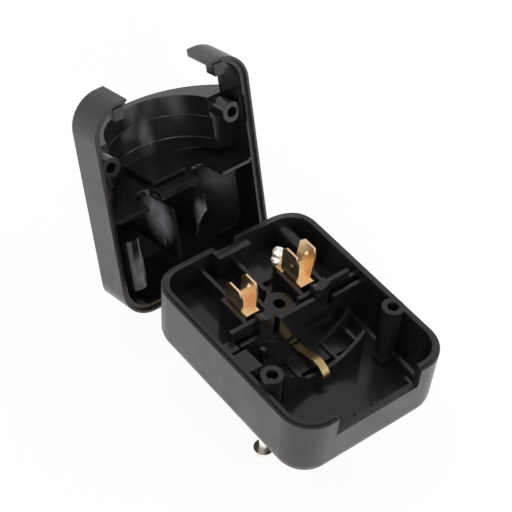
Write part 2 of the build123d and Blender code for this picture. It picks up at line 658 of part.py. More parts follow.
def main():
    line = line_pin(LINE_PIN_X)
    neutral = line_pin(-LINE_PIN_X)
    earth = earth_pin()
    link = neutral_link()
    line_contact = line_fuse_contact()
    feed_contact = feed_fuse_contact()
    inserts = [line, neutral, earth, link, line_contact, feed_contact]
    parts = {
        "tray_housing": tray(inserts),
        "lid_housing": opened(lid()),
        "line_pin": line,
        "neutral_pin": neutral,
        "earth_pin": earth,
        "line_pin_sleeve": pin_sleeve(LINE_PIN_X),
        "neutral_pin_sleeve": pin_sleeve(-LINE_PIN_X),
        "earth_strip": earth_strip(),
        "live_clip": plug_clip(CLIP_X, 1.8, 1.2) + solder_tab(),
        "neutral_clip": plug_clip(-CLIP_X, 0.0, 0.4),
        "solder_joint": solder_joint() - feed_contact,
        "neutral_link": link,
        "line_fuse_contact": line_contact,
        "feed_fuse_contact": feed_contact,
        "fuse_tube": fuse_tube(),
        "fuse_cap_left": fuse_cap(-1),
        "fuse_cap_right": fuse_cap(1),
        "fuse_cover": fuse_cover(),
        "closing_screw_left": closing_screw(-PILLAR_X),
        "closing_screw_right": closing_screw(PILLAR_X),
        "hinge_pin": hinge_pin(),
    }
    os.makedirs("parts", exist_ok=True)
    for name, shape in parts.items():
        export_step(shape, os.path.join("parts", name + ".step"))
        print(name, "volume", round(shape.volume, 1))


main()
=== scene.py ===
# %% [markdown]
# # An opened plug adapter
# The object is a two-part case of black plastic. It stands open like a book,
# so the picture looks down into the tray and into the lid at the same time.
# The measured model is loaded first and nothing in it moves. Everything after
# that adds looks: rounded edges, metal that catches light, and the grain of
# moulded plastic.

# %% Load the measured model
import json
import math

import bpy
import bmesh
from mathutils import Matrix, Vector, noise


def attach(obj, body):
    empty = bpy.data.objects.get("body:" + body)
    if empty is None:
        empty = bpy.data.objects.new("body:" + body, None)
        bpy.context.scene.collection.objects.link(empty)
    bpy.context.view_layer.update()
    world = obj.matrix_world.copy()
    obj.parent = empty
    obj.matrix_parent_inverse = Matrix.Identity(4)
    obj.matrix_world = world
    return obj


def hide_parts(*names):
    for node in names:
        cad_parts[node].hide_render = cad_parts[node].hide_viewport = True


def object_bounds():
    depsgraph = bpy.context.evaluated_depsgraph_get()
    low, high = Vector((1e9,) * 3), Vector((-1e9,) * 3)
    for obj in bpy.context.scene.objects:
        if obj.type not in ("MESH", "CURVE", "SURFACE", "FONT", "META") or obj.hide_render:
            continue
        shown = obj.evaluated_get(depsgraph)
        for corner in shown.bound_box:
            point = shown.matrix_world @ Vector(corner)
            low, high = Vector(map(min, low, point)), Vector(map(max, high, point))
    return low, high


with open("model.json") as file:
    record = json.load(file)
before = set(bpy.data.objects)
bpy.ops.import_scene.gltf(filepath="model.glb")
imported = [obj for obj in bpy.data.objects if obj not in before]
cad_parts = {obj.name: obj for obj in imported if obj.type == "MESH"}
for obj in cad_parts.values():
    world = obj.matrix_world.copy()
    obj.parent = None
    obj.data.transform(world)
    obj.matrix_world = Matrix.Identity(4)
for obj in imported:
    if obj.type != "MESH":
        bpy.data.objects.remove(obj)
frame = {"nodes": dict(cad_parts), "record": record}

FLOOR_GAP = 0.0001


def plain_box(box):
    return [[float(v) for v in corner] for corner in box]


cad_box = plain_box(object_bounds())
FLOOR_Z = cad_box[0][2] - FLOOR_GAP
print("measured box", cad_box)

# %% [markdown]
# ## The camera
# The viewpoint was worked out from the picture itself: a tray 52 mm by 68 mm
# can only look like this from one place. A long lens from nearly half a metre
# keeps the sides almost parallel, as product photographs do. The view is
# turned a few degrees about its own axis, because the real case stands
# slightly tipped on its pins.

# %% Place the camera
VIEW_TURN = math.radians(-44.44)
VIEW_RISE = math.radians(48.08)
VIEW_ROLL = math.radians(7.4)
VIEW_DISTANCE = 0.46118
FOCAL_PIXELS = 1710.08
IMAGE_PIXELS = 512
SENSOR_WIDTH = 36
PICTURE_OFFSET = (43.17, 58.28)
LOOK_AT = Vector((0, 0, 0.022))


def add_object(name, data):
    """A new object in the scene, at the origin and unturned."""
    made = bpy.data.objects.new(name, data)
    bpy.context.scene.collection.objects.link(made)
    return made


back = Vector((math.sin(VIEW_TURN) * math.cos(VIEW_RISE),
               -math.cos(VIEW_TURN) * math.cos(VIEW_RISE), math.sin(VIEW_RISE)))
level_right = Vector((math.cos(VIEW_TURN), math.sin(VIEW_TURN), 0))
level_up = back.cross(level_right)
right = level_right * math.cos(VIEW_ROLL) + level_up * math.sin(VIEW_ROLL)
up = -level_right * math.sin(VIEW_ROLL) + level_up * math.cos(VIEW_ROLL)

# LOOK_AT lies PICTURE_OFFSET pixels away from the middle of the picture, so the
# camera is turned by a degree or two until that middle is straight ahead.
ahead = right * (-PICTURE_OFFSET[0]) + up * PICTURE_OFFSET[1] - back * FOCAL_PIXELS
z_axis = -ahead.normalized()
x_axis = (right - z_axis * right.dot(z_axis)).normalized()
y_axis = z_axis.cross(x_axis)

camera_data = bpy.data.cameras.new("view")
camera_data.sensor_width = SENSOR_WIDTH
camera_data.lens = ahead.length / IMAGE_PIXELS * SENSOR_WIDTH
camera = add_object("view", camera_data)
axes = Matrix((x_axis, y_axis, z_axis)).transposed().to_4x4()
camera.matrix_world = Matrix.Translation(LOOK_AT + back * VIEW_DISTANCE) @ axes
bpy.context.scene.camera = camera
bpy.context.scene.view_settings.view_transform = "Standard"
print("lens", round(camera_data.lens, 1), "mm")

# %% [markdown]
# ## Nodes without tears
# Every finish below is a small tree of shader nodes. A few helpers keep the
# trees readable. One adds a node and sets its sockets, and one joins two
# sockets. One feeds a socket from a number or a node, so that a sum or a mix
# can be written as one line. The last starts a material with a principled
# shader in it.


# %% Helpers for shader trees
def add_node(tree, kind, values=None, **settings):
    """Adds a node, with attributes from the keywords and socket values from a dict."""
    node = tree.nodes.new(kind)
    for key, value in settings.items():
        setattr(node, key, value)
    for key, value in (values or {}).items():
        node.inputs[key].default_value = value
    return node


def join(tree, source, output, target, socket):
    """Joins an output of one node to an input of another."""
    tree.links.new(source.outputs[output], target.inputs[socket])


def feed(tree, operand, target, socket):
    """Feeds an input from a number, a node's first output or a (node, output) pair."""
    if isinstance(operand, (int, float)):
        target.inputs[socket].default_value = operand
    elif isinstance(operand, tuple):
        join(tree, *operand, target, socket)
    else:
        join(tree, operand, 0, target, socket)


def calculate(tree, operation, *operands):
    """A math node with one or two operands."""
    node = add_node(tree, "ShaderNodeMath", operation=operation)
    for socket, operand in enumerate(operands):
        feed(tree, operand, node, socket)
    return node


def remap(tree, operand, span, result, **settings):
    """A node that carries one span of values over to another."""
    node = add_node(tree, "ShaderNodeMapRange",
                    {"From Min": span[0], "From Max": span[1],
                     "To Min": result[0], "To Max": result[1]}, **settings)
    feed(tree, operand, node, "Value")
    return node


def mix_shaders(tree, share, first, second):
    """A mix of two shaders; a share of 1 is all the second."""
    node = add_node(tree, "ShaderNodeMixShader")
    for socket, operand in enumerate((share, first, second)):
        feed(tree, operand, node, socket)
    return node


def start_material(name, **sockets):
    """A new material holding a principled shader with the given socket values."""
    material = bpy.data.materials.new(name)
    material.use_nodes = True
    shader = material.node_tree.nodes["Principled BSDF"]
    for key, value in sockets.items():
        shader.inputs[key.replace("_", " ")].default_value = value
    return material, material.node_tree, shader


print("helpers ready for", bpy.app.version_string)

# %% [markdown]
# ## A floor that mirrors bright
# The picture was taken in a white sweep. A black case shows almost nothing of
# its own colour, so what makes it readable is the white room that mirrors in
# it. One large pale square is enough for a floor. To the camera it glows a
# little, so that it stays white next to the case, and in reflections it is
# brighter than white, as an overlit studio floor is.

# %% Lay the floor
FLOOR_HALF = 3.0
FLOOR_TONE = (0.86, 0.86, 0.86, 1)
FLOOR_ROUGHNESS = 0.9
WHITE = (1, 1, 1, 1)
WARM_WHITE = (1.0, 0.972, 0.962, 1)
# For each kind of ray: how much of it meets a glow, how strong, and its tint
FLOOR_GLOWS = (("Is Camera Ray", 0.88, 1.05, WHITE), ("Is Glossy Ray", 0.85, 1.5, WARM_WHITE))

floor_mesh = bpy.data.meshes.new("floor")
floor_corners = [(x * FLOOR_HALF, y * FLOOR_HALF, FLOOR_Z)
                 for x, y in ((-1, -1), (1, -1), (1, 1), (-1, 1))]
floor_mesh.from_pydata(floor_corners, [], [(0, 1, 2, 3)])
floor = add_object("floor", floor_mesh)

floor_paint, tree, surface = start_material("floor_paint", Base_Color=FLOOR_TONE,
                                            Roughness=FLOOR_ROUGHNESS)
rays = add_node(tree, "ShaderNodeLightPath")
for ray, part, strength, tint in FLOOR_GLOWS:
    glow = add_node(tree, "ShaderNodeEmission", {"Color": tint, "Strength": strength})
    share = calculate(tree, "MULTIPLY", (rays, ray), part)
    surface = mix_shaders(tree, share, surface, glow)
join(tree, surface, 0, tree.nodes["Material Output"], 0)
floor_mesh.materials.append(floor_paint)
print("floor at", FLOOR_Z)

# %% [markdown]
# ## The white room and its lamps
# The world is a plain white room. It lights the case softly, the camera sees
# it as white, and reflections see it brightest near the horizon and dimmer
# overhead, so that upright walls and level faces part from each other. Three
# large square lamps add direction without a hard shadow.

# %% Light the room
ROOM_LIGHT = 0.55
ROOM_SEEN = 1.0
# Direction's height from the horizon up, and the mirrored light over that span
MIRROR_SPAN = (0.0, 0.75)
MIRROR_LIGHT = (1.25, 0.72)
# Name, place, the point it faces, width and power
LAMPS = (("key_box", (-0.50, -0.80, 0.42), (0, 0.02, 0.03), 0.45, 2.4),
         ("right_box", (0.60, -0.55, 0.30), (0, 0.0, 0.02), 0.35, 1.4),
         ("top_box", (-0.2, 0.15, 0.9), (0, 0.02, 0.02), 0.4, 0.8))

world = bpy.data.worlds.new("white_sweep")
bpy.context.scene.world = world
world.use_nodes = True
tree = world.node_tree
tree.nodes.clear()
room = add_node(tree, "ShaderNodeBackground", {"Color": WHITE, "Strength": ROOM_LIGHT})
white = add_node(tree, "ShaderNodeBackground", {"Color": WHITE, "Strength": ROOM_SEEN})
mirrored = add_node(tree, "ShaderNodeBackground", {"Color": WARM_WHITE})
heading = add_node(tree, "ShaderNodeTexCoord")
height = add_node(tree, "ShaderNodeSeparateXYZ")
join(tree, heading, "Generated", height, "Vector")
feed(tree, remap(tree, (height, "Z"), MIRROR_SPAN, MIRROR_LIGHT), mirrored, "Strength")
rays = add_node(tree, "ShaderNodeLightPath")
watched = calculate(tree, "MAXIMUM", (rays, "Is Camera Ray"), (rays, "Is Glossy Ray"))
shown = mix_shaders(tree, (rays, "Is Glossy Ray"), white, mirrored)
sky = mix_shaders(tree, watched, room, shown)
join(tree, sky, 0, add_node(tree, "ShaderNodeOutputWorld"), 0)


def soft_lamp(name, place, target, size, power):
    """A square soft box that faces a point."""
    lamp = bpy.data.lights.new(name, "AREA")
    lamp.size = size
    lamp.energy = power
    direction = Vector(target) - Vector(place)
    rotation = direction.to_track_quat("-Z", "Y").to_matrix().to_4x4()
    add_object(name, lamp).matrix_world = Matrix.Translation(place) @ rotation


for row in LAMPS:
    soft_lamp(*row)
print("room ready with", len(LAMPS), "lamps")

# %% [markdown]
# ## Where the outside of the case ends
# The outer faces are satin and read as dark grey. The inside is smoother and
# nearly black, because that half of the mould was polished. One material does
# both: it works out how deep a point lies inside the rounded outline of the
# case, and under the arch of the lid, and blends the two finishes there. The
# lid stands open, so its points are first turned back to the closed place.

# %% Measure the depth under the outer faces
CASE_HALF = (0.026, 0.034)
CASE_CORNER = 0.0096
SKIN_DEPTH = 0.0015
FLOOR_SKIN = 0.0045
HINGE_PLACE = (0.0, 0.028, 0.006)
OPEN_TURN = math.radians(107.0)
ARCH_RADIUS = 0.03165
ARCH_HEIGHT = 0.01575
ARCH_SKIN = 0.0011


def closed_place(tree, place, part):
    """The (node, output) pair that gives a point's place in the shut case."""
    if part != "lid":
        return place, "Object"
    turn = add_node(tree, "ShaderNodeVectorRotate", {"Center": HINGE_PLACE, "Angle": OPEN_TURN},
                    rotation_type="X_AXIS")
    join(tree, place, "Object", turn, "Vector")
    return turn, "Vector"


def square(tree, operand):
    """A node that gives the square of its operand."""
    return calculate(tree, "POWER", operand, 2.0)


def outer_skin(tree, point, part):
    """A node that gives 1 on the outer faces of the tray or the lid and 0 inside."""
    split = add_node(tree, "ShaderNodeSeparateXYZ")
    feed(tree, point, split, "Vector")
    over = [calculate(tree, "SUBTRACT", calculate(tree, "ABSOLUTE", (split, axis)),
                      half - CASE_CORNER) for axis, half in zip("XY", CASE_HALF)]
    squares = [square(tree, calculate(tree, "MAXIMUM", past, 0.0)) for past in over]
    reach = calculate(tree, "SQRT", calculate(tree, "ADD", *squares))
    flat = calculate(tree, "MINIMUM", calculate(tree, "MAXIMUM", *over), 0.0)
    depth = calculate(tree, "SUBTRACT", calculate(tree, "ADD", reach, flat), CASE_CORNER)
    wall = calculate(tree, "GREATER_THAN", depth, -SKIN_DEPTH)
    if part == "lid":
        above = square(tree, calculate(tree, "SUBTRACT", (split, "Z"), ARCH_HEIGHT))
        across = square(tree, (split, "X"))
        radius = calculate(tree, "SQRT", calculate(tree, "ADD", above, across))
        other = calculate(tree, "GREATER_THAN", radius, ARCH_RADIUS - ARCH_SKIN)
    else:
        other = calculate(tree, "LESS_THAN", (split, "Z"), FLOOR_SKIN)
    return calculate(tree, "MAXIMUM", wall, other)


print("case outline", [2 * half for half in CASE_HALF], "skin", SKIN_DEPTH)

# %% [markdown]
# ## Painted highlights in the lid
# Pale patches are painted into the colour of the lid's inside in place of
# light: they are painted highlights on the lid's fins, on its ridge and in the
# middle of its nest. Each patch is a soft ball round a place in the shut case,
# and the wide noise of the plastic breaks its edge.

# %% Shape the painted highlights
# Painted highlights: place in the shut case, reach each way, strength
PAINTED_HIGHLIGHTS = (((-0.0059, 0.0105, 0.0310), (0.0012, 0.0105, 0.0095), 1.0),
         ((0.0049, 0.0140, 0.0235), (0.0014, 0.0085, 0.0055), 0.8),
         ((-0.0180, 0.0195, 0.0236), (0.0034, 0.0070, 0.0020), 0.36),
         ((0.0029, -0.0060, 0.0450), (0.0034, 0.0090, 0.0030), 0.17))
# The painted highlights' pale colour, their fade with distance, and how noise breaks them up
PAINTED_HIGHLIGHT_TONE = (0.500, 0.485, 0.525)
PAINTED_HIGHLIGHT_FADE = (0.25, 1.0)
PAINTED_HIGHLIGHT_BREAK = ((0.25, 0.7), (0.35, 1.15))


def painted_highlight_share(tree, point, cloud):
    """A soft, broken share of painted highlight round a few places inside the lid."""
    total = 0.0
    for centre, reach, strength in PAINTED_HIGHLIGHTS:
        offset = add_node(tree, "ShaderNodeVectorMath", {1: centre}, operation="SUBTRACT")
        spread = add_node(tree, "ShaderNodeVectorMath", {1: reach}, operation="DIVIDE")
        away = add_node(tree, "ShaderNodeVectorMath", operation="LENGTH")
        feed(tree, point, offset, 0)
        feed(tree, offset, spread, 0)
        feed(tree, spread, away, 0)
        fade = remap(tree, (away, "Value"), PAINTED_HIGHLIGHT_FADE, (strength, 0.0),
                     interpolation_type="SMOOTHSTEP")
        total = calculate(tree, "MAXIMUM", total, fade)
    return calculate(tree, "MULTIPLY", total, remap(tree, cloud, *PAINTED_HIGHLIGHT_BREAK))


# Counts the patches of painted highlight.
print("patches of bloom", len(PAINTED_HIGHLIGHTS))

# %% [markdown]
# ## Black moulded plastic
# The case is injection-moulded. The tool was spark-eroded outside, which
# leaves a very fine, even grain, and the flow of the melt leaves faint, wide
# differences in gloss. A fine noise makes the grain as a tiny bump. A wide
# noise changes the roughness and the tone a little, so highlights break up as
# they do on the real surface.

# %% Mix the plastic
PLASTIC_IOR = 1.5
FINE_GRAIN = {"Scale": 3600.0, "Detail": 3.0}
WIDE_FLOW = {"Scale": 90.0, "Detail": 4.0, "Distortion": 1.2}
GRAIN_DEPTH = 0.00003
FLOW_SPAN = (0.3, 0.7)
GLOSS_CHANGE = (-0.05, 0.07)
TONE_CHANGE = (0.84, 1.08)
WHOLE_SPAN = (0.0, 1.0)
# A mix node has several sockets of one name, so its colours go by number
MIX_SHARE, MIX_FIRST, MIX_SECOND, MIX_RESULT = 0, 6, 7, 2


def mix_colours(tree, share, first, second):
    """Mixes two colours, each a tone or a (node, output) pair; gives such a pair."""
    node = add_node(tree, "ShaderNodeMix", data_type="RGBA")
    feed(tree, share, node, MIX_SHARE)
    for socket, colour in ((MIX_FIRST, first), (MIX_SECOND, second)):
        if len(colour) == 2:
            join(tree, *colour, node, socket)
        else:
            node.inputs[socket].default_value = (*colour, 1)
    return node, MIX_RESULT


def black_plastic(name, outside, inside=None, part=None):
    """Black plastic; outside and inside are (tone, roughness, grain) each."""
    material, tree, shader = start_material(name, IOR=PLASTIC_IOR)
    inside = inside or outside
    place = add_node(tree, "ShaderNodeTexCoord")
    fine = add_node(tree, "ShaderNodeTexNoise", FINE_GRAIN)
    wide = add_node(tree, "ShaderNodeTexNoise", WIDE_FLOW)
    for texture in (fine, wide):
        join(tree, place, "Object", texture, "Vector")
    flow = (wide, "Fac")
    point = closed_place(tree, place, part)
    share = outer_skin(tree, point, part) if part else 1.0

    gloss = remap(tree, share, WHOLE_SPAN, (inside[1], outside[1]))
    uneven = remap(tree, flow, FLOW_SPAN, GLOSS_CHANGE)
    feed(tree, calculate(tree, "ADD", gloss, uneven), shader, "Roughness")

    tone = mix_colours(tree, share, inside[0], outside[0])
    if part == "lid":
        # Painted highlights: pale patches mixed into the colour inside the lid.
        tone = mix_colours(tree, painted_highlight_share(tree, point, flow), tone, PAINTED_HIGHLIGHT_TONE)
    shade = add_node(tree, "ShaderNodeVectorMath", operation="SCALE")
    feed(tree, tone, shade, 0)
    feed(tree, remap(tree, flow, FLOW_SPAN, TONE_CHANGE), shade, "Scale")
    feed(tree, shade, shader, "Base Color")

    bump = add_node(tree, "ShaderNodeBump", {"Distance": GRAIN_DEPTH})
    feed(tree, remap(tree, share, WHOLE_SPAN, (inside[2], outside[2])), bump, "Strength")
    feed(tree, (fine, "Fac"), bump, "Height")
    feed(tree, bump, shader, "Normal")
    return material


SATIN = ((0.020, 0.0185, 0.019), 0.38, 0.45)
POLISHED = ((0.0130, 0.0112, 0.0117), 0.20, 0.12)
SLEEVE_SATIN = ((0.020, 0.020, 0.020), 0.40, 0.25)
tray_plastic = black_plastic("tray_plastic", SATIN, POLISHED, "tray")
lid_plastic = black_plastic("lid_plastic", SATIN, POLISHED, "lid")
cover_plastic = black_plastic("cover_plastic", SATIN)
sleeve_plastic = black_plastic("sleeve_plastic", SLEEVE_SATIN)
print("plastic nodes", len(tray_plastic.node_tree.nodes), len(lid_plastic.node_tree.nodes))

# %% [markdown]
# ## Copper, brass and nickel
# The clips are cut from rolled strip, so their gloss runs in fine streaks
# along the roll, with a little uneven tarnish. The pins are brass bar and the
# screws are nickel plated. All of them are one recipe: a noise squeezed along
# one axis draws the streaks, and a rounder noise drives the tarnish.

# %% Mix the metals
STREAK_NOISE = {"Scale": 900.0, "Detail": 5.0}
TARNISH_NOISE = {"Scale": 170.0, "Detail": 3.0, "Distortion": 0.3}
TARNISH_ENDS = (0.25, 0.58)
STREAK_GLOSS = (-0.06, 0.10)
STREAK_BUMP = {"Strength": 0.18, "Distance": 0.00002}


def ramp(tree, operand, ends, tones):
    """A colour ramp between two tones."""
    node = add_node(tree, "ShaderNodeValToRGB")
    for element, end, tone in zip(node.color_ramp.elements, ends, tones):
        element.position = end
        element.color = (*tone, 1)
    feed(tree, operand, node, "Fac")
    return node


def rolled_metal(name, bright, tarnished, roughness, streak):
    """Sheet metal with streaks along its roll and patches of tarnish."""
    material, tree, shader = start_material(name, Metallic=1.0)
    place = add_node(tree, "ShaderNodeTexCoord")
    stretch = add_node(tree, "ShaderNodeMapping", {"Scale": streak})
    lines = add_node(tree, "ShaderNodeTexNoise", STREAK_NOISE)
    patches = add_node(tree, "ShaderNodeTexNoise", TARNISH_NOISE)
    join(tree, place, "Object", stretch, "Vector")
    join(tree, stretch, "Vector", lines, "Vector")
    join(tree, place, "Object", patches, "Vector")
    colour = ramp(tree, (patches, "Fac"), TARNISH_ENDS, (tarnished, bright))
    feed(tree, colour, shader, "Base Color")
    limits = [roughness + change for change in STREAK_GLOSS]
    feed(tree, remap(tree, (lines, "Fac"), WHOLE_SPAN, limits), shader, "Roughness")
    bump = add_node(tree, "ShaderNodeBump", STREAK_BUMP)
    feed(tree, (lines, "Fac"), bump, "Height")
    feed(tree, bump, shader, "Normal")
    return material


# Bright tone, tarnished tone, roughness, and the noise's squeeze along X, Y and Z
clip_copper = rolled_metal("clip_copper", (0.99, 0.79, 0.52), (0.84, 0.52, 0.32),
                           0.27, (1.0, 9.0, 1.0))
strip_brass = rolled_metal("strip_brass", (0.60, 0.47, 0.22), (0.42, 0.31, 0.13),
                           0.32, (9.0, 1.0, 1.0))
pin_brass = rolled_metal("pin_brass", (0.80, 0.66, 0.38), (0.66, 0.52, 0.27),
                         0.28, (1.0, 1.0, 8.0))
nickel = rolled_metal("nickel", (0.82, 0.78, 0.73), (0.64, 0.60, 0.55),
                      0.24, (1.0, 1.0, 6.0))
steel = rolled_metal("steel", (0.56, 0.56, 0.57), (0.45, 0.45, 0.46),
                     0.32, (8.0, 1.0, 1.0))
solder_tin = rolled_metal("solder_tin", (0.96, 0.96, 0.94), (0.90, 0.89, 0.87),
                          0.44, (1.0, 1.0, 1.0))
print("nodes in a metal", len(nickel.node_tree.nodes))

# %% [markdown]
# ## The fuse's ceramic
# The tube of the fuse is glazed ceramic, off-white and a little cloudy. A
# noise and a ramp between two close tones are enough, since it is small and
# sits inside the case.

# %% Mix the ceramic
CERAMIC_NOISE = {"Scale": 300.0, "Detail": 2.0}
CERAMIC_TONES = ((0.78, 0.75, 0.68), (0.88, 0.86, 0.80))
CERAMIC_ROUGHNESS = 0.22

ceramic, tree, shader = start_material("ceramic", Roughness=CERAMIC_ROUGHNESS)
place = add_node(tree, "ShaderNodeTexCoord")
cloud = add_node(tree, "ShaderNodeTexNoise", CERAMIC_NOISE)
join(tree, place, "Object", cloud, "Vector")
feed(tree, ramp(tree, (cloud, "Fac"), WHOLE_SPAN, CERAMIC_TONES), shader, "Base Color")
print("ceramic nodes", len(tree.nodes))

# %% [markdown]
# ## A finish for every piece
# Each measured piece gets one finish here, also those that a softened piece
# replaces below, because that one starts as a copy and keeps the finish.

# %% Give every measured piece its finish
FINISHES = {
    "tray_housing": tray_plastic, "lid_housing": lid_plastic, "fuse_cover": cover_plastic,
    "line_pin_sleeve": sleeve_plastic, "neutral_pin_sleeve": sleeve_plastic,
    "line_pin": pin_brass, "neutral_pin": pin_brass, "earth_pin": pin_brass,
    "earth_strip": strip_brass, "live_clip": clip_copper, "neutral_clip": clip_copper,
    "neutral_link": clip_copper, "line_fuse_contact": clip_copper,
    "feed_fuse_contact": clip_copper, "solder_joint": solder_tin, "fuse_tube": ceramic,
    "fuse_cap_left": nickel, "fuse_cap_right": nickel, "closing_screw_left": nickel,
    "closing_screw_right": nickel, "hinge_pin": steel,
}
for node, finish in FINISHES.items():
    mesh = frame["nodes"][node].data
    mesh.materials.clear()
    mesh.materials.append(finish)
print("finished nodes", len(FINISHES))

# %% [markdown]
# ## Softened edges
# No moulded or stamped edge is a perfect corner. A rounding of a tenth to a
# quarter of a millimetre is what draws the thin light line along every rim
# and rib in the picture. The pieces that show such edges are copied, their
# doubled points are merged, and a bevel rounds the corners sharper than thirty
# degrees. The outer leaf of each clip also gets the round dimple that its
# punch left, cut with a shallow ball.

# %% Make the balls that press the dimples
DIMPLES = {"neutral_clip": (-0.01251, 0.01255, 0.02489), "live_clip": (0.00670, 0.01211, 0.02700)}
DIMPLE_RADIUS = 0.0010
DIMPLE_DEPTH = 0.00025
BALL_DETAIL = 4


def mesh_object(name, shape):
    """A new object in the scene that takes over a bmesh."""
    mesh = bpy.data.meshes.new(name)
    shape.to_mesh(mesh)
    shape.free()
    return add_object(name, mesh)


def dimple_ball(centre):
    """A ball that sinks a shallow round dimple into a face that looks along -X."""
    radius = (DIMPLE_RADIUS ** 2 + DIMPLE_DEPTH ** 2) / (2 * DIMPLE_DEPTH)
    place = Matrix.Translation((centre[0] - radius + DIMPLE_DEPTH, centre[1], centre[2]))
    shape = bmesh.new()
    bmesh.ops.create_icosphere(shape, subdivisions=BALL_DETAIL, radius=radius, matrix=place)
    return mesh_object("dimple_ball", shape)


print("dimples to press", len(DIMPLES))

# %% Write the recipe for one softened piece
MERGE_DISTANCE = 1e-6
FLAT_ANGLE = math.radians(1.0)
SHARP_ANGLE = math.radians(30)
BEVEL_STEPS = 2


def settle(piece):
    """Turns what a piece's modifiers make into its plain mesh, and removes them."""
    depsgraph = bpy.context.evaluated_depsgraph_get()
    mesh = bpy.data.meshes.new_from_object(piece.evaluated_get(depsgraph), depsgraph=depsgraph)
    piece.modifiers.clear()
    piece.data = mesh


def shade_smooth(mesh):
    """Shades every face of a mesh smoothly."""
    for face in mesh.polygons:
        face.use_smooth = True


def softened(node, width):
    """A copy of a measured piece with its sharp edges rounded."""
    shape = bmesh.new()
    mesh = frame["nodes"][node].data.copy()
    shape.from_mesh(mesh)
    bmesh.ops.remove_doubles(shape, verts=shape.verts, dist=MERGE_DISTANCE)
    bmesh.ops.dissolve_limit(shape, angle_limit=FLAT_ANGLE, verts=shape.verts,
                             edges=shape.edges, delimit={"NORMAL"})
    shape.to_mesh(mesh)
    shape.free()
    shade_smooth(mesh)
    piece = add_object("soft_" + node, mesh)
    ball = dimple_ball(DIMPLES[node]) if node in DIMPLES else None
    if ball:
        press = piece.modifiers.new("press", "BOOLEAN")
        press.operation = "DIFFERENCE"
        press.object = ball
    bevel = piece.modifiers.new("rounding", "BEVEL")
    bevel.width = width
    bevel.segments = BEVEL_STEPS
    bevel.limit_method = "ANGLE"
    bevel.angle_limit = SHARP_ANGLE
    bevel.use_clamp_overlap = True
    bevel.harden_normals = True
    even = piece.modifiers.new("even_normals", "WEIGHTED_NORMAL")
    even.keep_sharp = False
    settle(piece)
    if ball:
        bpy.data.objects.remove(ball)
    return piece


print("corners over", round(math.degrees(SHARP_ANGLE)), "degrees will be rounded")

# %% Round the edges of the visible pieces
BODY_OF = {node: body for body, nodes in frame["record"]["behaviour"]["bodies"].items()
           for node in nodes}
ROUNDING = {"tray_housing": 0.00022, "lid_housing": 0.00022, "live_clip": 0.00010,
            "neutral_clip": 0.00010, "earth_strip": 0.00008, "line_pin": 0.00020,
            "neutral_pin": 0.00020, "earth_pin": 0.00025, "fuse_cover": 0.00010}
for node, width in ROUNDING.items():
    piece = softened(node, width)
    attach(piece, BODY_OF[node])
    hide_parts(node)
    print(piece.name, len(piece.data.polygons), "faces")

# %% [markdown]
# ## The lump of solder
# The joint behind the right clip was made by hand: three melts that ran into
# each other, one above and two below. Three spheres are pushed about by
# noise, fused by a fine remesh, and kept inside the measured lump.

# %% Shape the solder
# Centre and radius of each melt
LUMPS = (((0.00775, 0.01905, 0.02485), 0.00175), ((0.00700, 0.01870, 0.02270), 0.00165),
         ((0.00790, 0.01950, 0.02230), 0.00150))
# Frequency of a noise, and how far it pushes the skin
LUMP_NOISE = ((900, 0.00030), (2600, 0.00010))
LUMP_VOXEL = 0.00012
CALM_FACTOR = 0.5
CALM_STEPS = 4


def lumpy_metal(name, material, low, high):
    """Spheres roughened by noise and fused into one skin, held inside a box."""
    shape = bmesh.new()
    for place, radius in LUMPS:
        centre = Vector(place)
        made = bmesh.ops.create_icosphere(shape, subdivisions=BALL_DETAIL, radius=radius,
                                          matrix=Matrix.Translation(centre))
        for vert in made["verts"]:
            away = (vert.co - centre).normalized()
            push = sum(noise.noise(vert.co * scale) * depth for scale, depth in LUMP_NOISE)
            vert.co = vert.co + away * push
    piece = mesh_object(name, shape)
    fuse = piece.modifiers.new("fuse", "REMESH")
    fuse.mode = "VOXEL"
    fuse.voxel_size = LUMP_VOXEL
    calm = piece.modifiers.new("calm", "SMOOTH")
    calm.factor = CALM_FACTOR
    calm.iterations = CALM_STEPS
    settle(piece)
    for vert in piece.data.vertices:
        vert.co = Vector(max(a, min(b, v)) for a, v, b in zip(low, vert.co, high))
    shade_smooth(piece.data)
    piece.data.materials.clear()
    piece.data.materials.append(material)
    return piece


corners = [Vector(corner) for corner in frame["nodes"]["solder_joint"].bound_box]
low = [min(corner[axis] for corner in corners) for axis in range(3)]
high = [max(corner[axis] for corner in corners) for axis in range(3)]
print("measured lump", [round(v * 1000, 2) for v in low + high])
solder_lump = lumpy_metal("solder_lump", solder_tin, low, high)
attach(solder_lump, "tray")
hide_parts("solder_joint")
print("solder faces", len(solder_lump.data.polygons))

# %% [markdown]
# ## A ridge wound by a node tree
# The closing screws cut their own way into plastic, so their thread is coarse
# and sharp, and it covers the far half of the bar only. A node tree is a good
# way to make it: a spiral gives the path, a circle of four points gives the
# kite-shaped ridge, and the number of turns is one value that goes in.

# %% Build the thread as a node tree
THREAD_RADIUS = 0.00150
CORE_RADIUS = 0.00112
TURN_STEPS = 28
KITE_POINTS = 4


def start_group(name, **inputs):
    """A geometry node tree with the given inputs, and the node that gives them."""
    group = bpy.data.node_groups.new(name, "GeometryNodeTree")
    group.interface.new_socket("Geometry", in_out="OUTPUT", socket_type="NodeSocketGeometry")
    for label, kind in inputs.items():
        group.interface.new_socket(label, in_out="INPUT", socket_type="NodeSocket" + kind)
    return group, add_node(group, "NodeGroupInput")


def end_group(group, shape, material):
    """Realizes the instances of a shape, paints it and hands it out."""
    whole = add_node(group, "GeometryNodeRealizeInstances")
    paint = add_node(group, "GeometryNodeSetMaterial", {"Material": material})
    result = add_node(group, "NodeGroupOutput")
    join(group, shape, 0, whole, "Geometry")
    join(group, whole, 0, paint, "Geometry")
    join(group, paint, 0, result, "Geometry")


